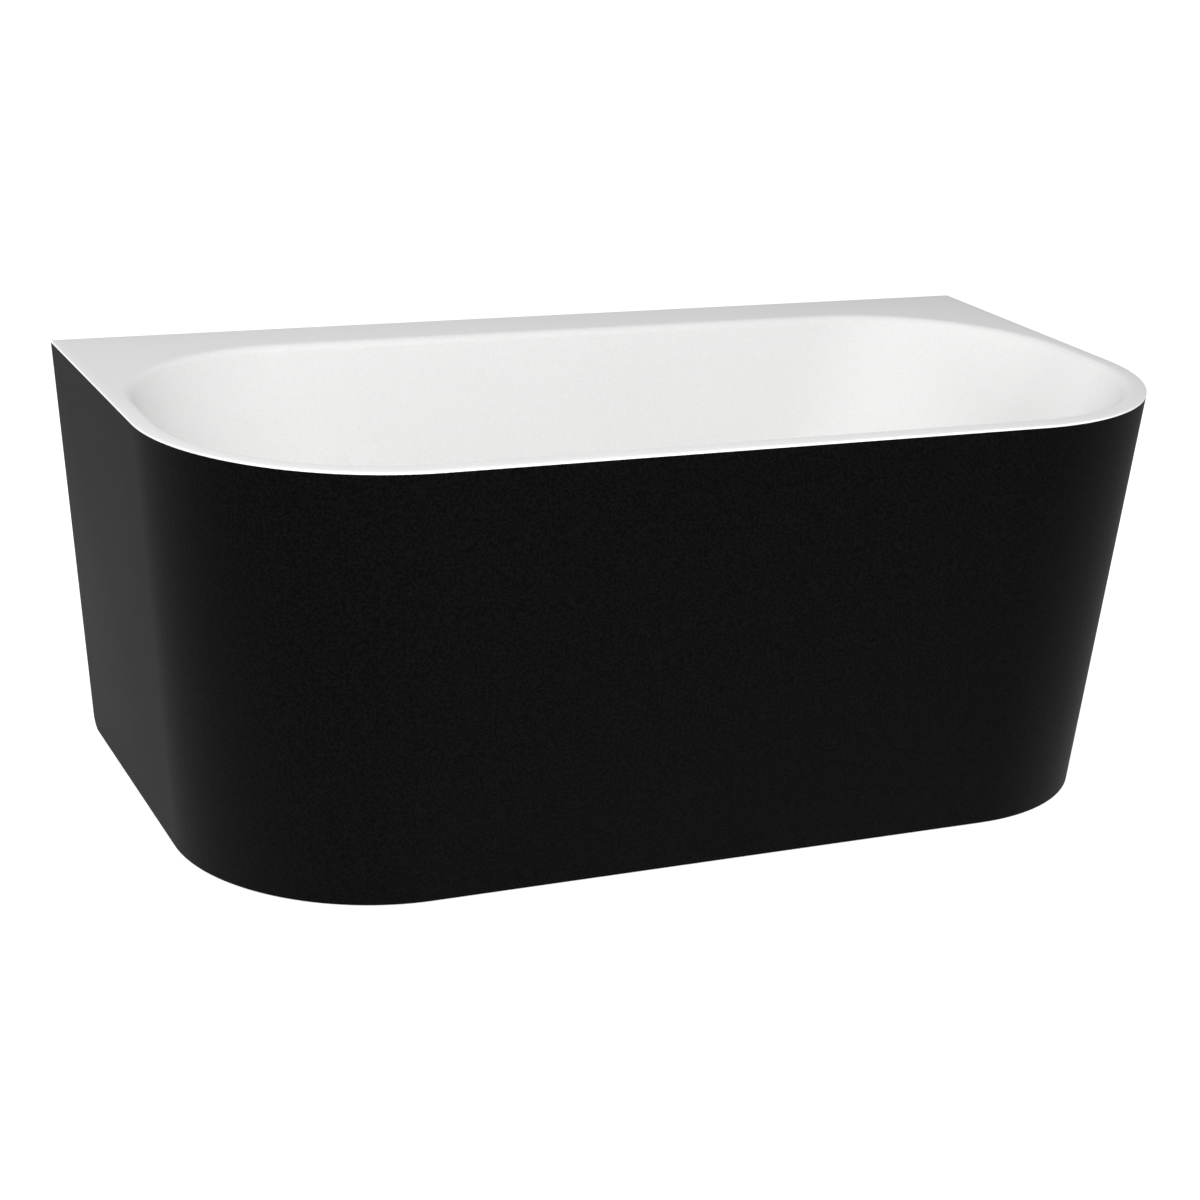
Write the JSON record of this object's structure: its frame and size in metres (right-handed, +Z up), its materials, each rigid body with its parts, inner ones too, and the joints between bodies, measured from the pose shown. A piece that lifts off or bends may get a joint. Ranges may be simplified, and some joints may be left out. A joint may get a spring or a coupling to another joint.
{
  "type": "freestanding bathtub",
  "caption": "Back-to-wall bathtub with a D-shaped leaning black skirt, a white inner bath with a wide rear rim, levelling feet, click plug waste and overflow.",
  "frame": {"origin": "on the floor, under the centre of the rim's outline", "axes": "+X along the bath, +Y towards the wall behind it, +Z up"},
  "size_m": [1.5, 0.79, 0.607],
  "materials": {
    "acrylic": "smooth white sanitary acrylic, satin gloss",
    "glass_fibre": "rough translucent glass-fibre resin",
    "skirt": "matt black lacquered acrylic",
    "timber": "unfinished plywood",
    "galvanised": "galvanised square steel tube",
    "zinc": "bright zinc-plated steel",
    "black_plastic": "black moulded polypropylene",
    "white_plastic": "white moulded plastic",
    "chrome": "polished chrome plate",
    "rubber": "black rubber"
  },
  "bodies": {
    "bath": {"bath_shell": "acrylic", "glass_fibre_backing": "glass_fibre", "skirt": "skirt", "rim_batten": "timber", "base_board": "timber", "frame_cross_rail_left": "galvanised", "frame_cross_rail_right": "galvanised", "frame_long_rail_front": "galvanised", "frame_long_rail_rear": "galvanised", "skirt_bracket_left": "zinc", "skirt_bracket_right": "zinc", "skirt_bracket_screw_left": "zinc", "skirt_bracket_screw_right": "zinc", "waste_flange": "chrome", "waste_gasket": "rubber", "waste_body_seal": "rubber", "waste_body": "black_plastic", "waste_cartridge": "white_plastic", "waste_plug_spring": "zinc", "overflow_ring": "white_plastic", "overflow_cover": "chrome", "overflow_screw": "chrome", "overflow_seal": "rubber", "overflow_elbow": "black_plastic", "overflow_hose": "black_plastic", "hose_nut_upper": "black_plastic", "hose_nut_lower": "black_plastic", "rail_end_cap_front_left": "black_plastic", "board_screw_front_left": "zinc", "foot_lock_nut_front_left": "zinc", "foot_weld_nut_front_left": "zinc", "rail_end_cap_rear_left": "black_plastic", "board_screw_rear_left": "zinc", "foot_lock_nut_rear_left": "zinc", "foot_weld_nut_rear_left": "zinc", "rail_end_cap_front_right": "black_plastic", "board_screw_front_right": "zinc", "foot_lock_nut_front_right": "zinc", "foot_weld_nut_front_right": "zinc", "rail_end_cap_rear_right": "black_plastic", "board_screw_rear_right": "zinc", "foot_lock_nut_rear_right": "zinc", "foot_weld_nut_rear_right": "zinc"},
    "foot_front_left": {"foot_pad_front_left": "black_plastic"},
    "stud_front_left": {"foot_stud_front_left": "zinc"},
    "foot_rear_left": {"foot_pad_rear_left": "black_plastic"},
    "stud_rear_left": {"foot_stud_rear_left": "zinc"},
    "foot_front_right": {"foot_pad_front_right": "black_plastic"},
    "stud_front_right": {"foot_stud_front_right": "zinc"},
    "foot_rear_right": {"foot_pad_rear_right": "black_plastic"},
    "stud_rear_right": {"foot_stud_rear_right": "zinc"},
    "plug": {"waste_plug": "chrome", "waste_plug_stem": "zinc", "waste_plug_seal": "rubber"}
  },
  "joints": [
    {"name": "foot_height_front_left", "type": "slide", "parent": "bath", "child": "foot_front_left", "axis": [0, 0, 1], "range_m": [-0.02, 0.01]},
    {"name": "foot_turn_front_left", "type": "hinge", "parent": "foot_front_left", "child": "stud_front_left", "pos_m": [-0.4, -0.2605, 0], "axis": [0, 0, 1], "range_deg": [-4116, 2058]},
    {"name": "foot_height_rear_left", "type": "slide", "parent": "bath", "child": "foot_rear_left", "axis": [0, 0, 1], "range_m": [-0.02, 0.01]},
    {"name": "foot_turn_rear_left", "type": "hinge", "parent": "foot_rear_left", "child": "stud_rear_left", "pos_m": [-0.4, 0.1895, 0], "axis": [0, 0, 1], "range_deg": [-4116, 2058]},
    {"name": "foot_height_front_right", "type": "slide", "parent": "bath", "child": "foot_front_right", "axis": [0, 0, 1], "range_m": [-0.02, 0.01]},
    {"name": "foot_turn_front_right", "type": "hinge", "parent": "foot_front_right", "child": "stud_front_right", "pos_m": [0.4, -0.2605, 0], "axis": [0, 0, 1], "range_deg": [-4116, 2058]},
    {"name": "foot_height_rear_right", "type": "slide", "parent": "bath", "child": "foot_rear_right", "axis": [0, 0, 1], "range_m": [-0.02, 0.01]},
    {"name": "foot_turn_rear_right", "type": "hinge", "parent": "foot_rear_right", "child": "stud_rear_right", "pos_m": [0.4, 0.1895, 0], "axis": [0, 0, 1], "range_deg": [-4116, 2058]},
    {"name": "plug_press", "type": "slide", "parent": "bath", "child": "plug", "axis": [0, 0, 1], "range_m": [-0.01, 0], "deforming": ["waste_plug_spring"]}
  ],
  "couplings": [
    {"joint": "foot_turn_front_left", "follows": "foot_height_front_left", "rad_per_m": 3590.4},
    {"joint": "foot_turn_rear_left", "follows": "foot_height_rear_left", "rad_per_m": 3590.4},
    {"joint": "foot_turn_front_right", "follows": "foot_height_front_right", "rad_per_m": 3590.4},
    {"joint": "foot_turn_rear_right", "follows": "foot_height_rear_right", "rad_per_m": 3590.4}
  ]
}
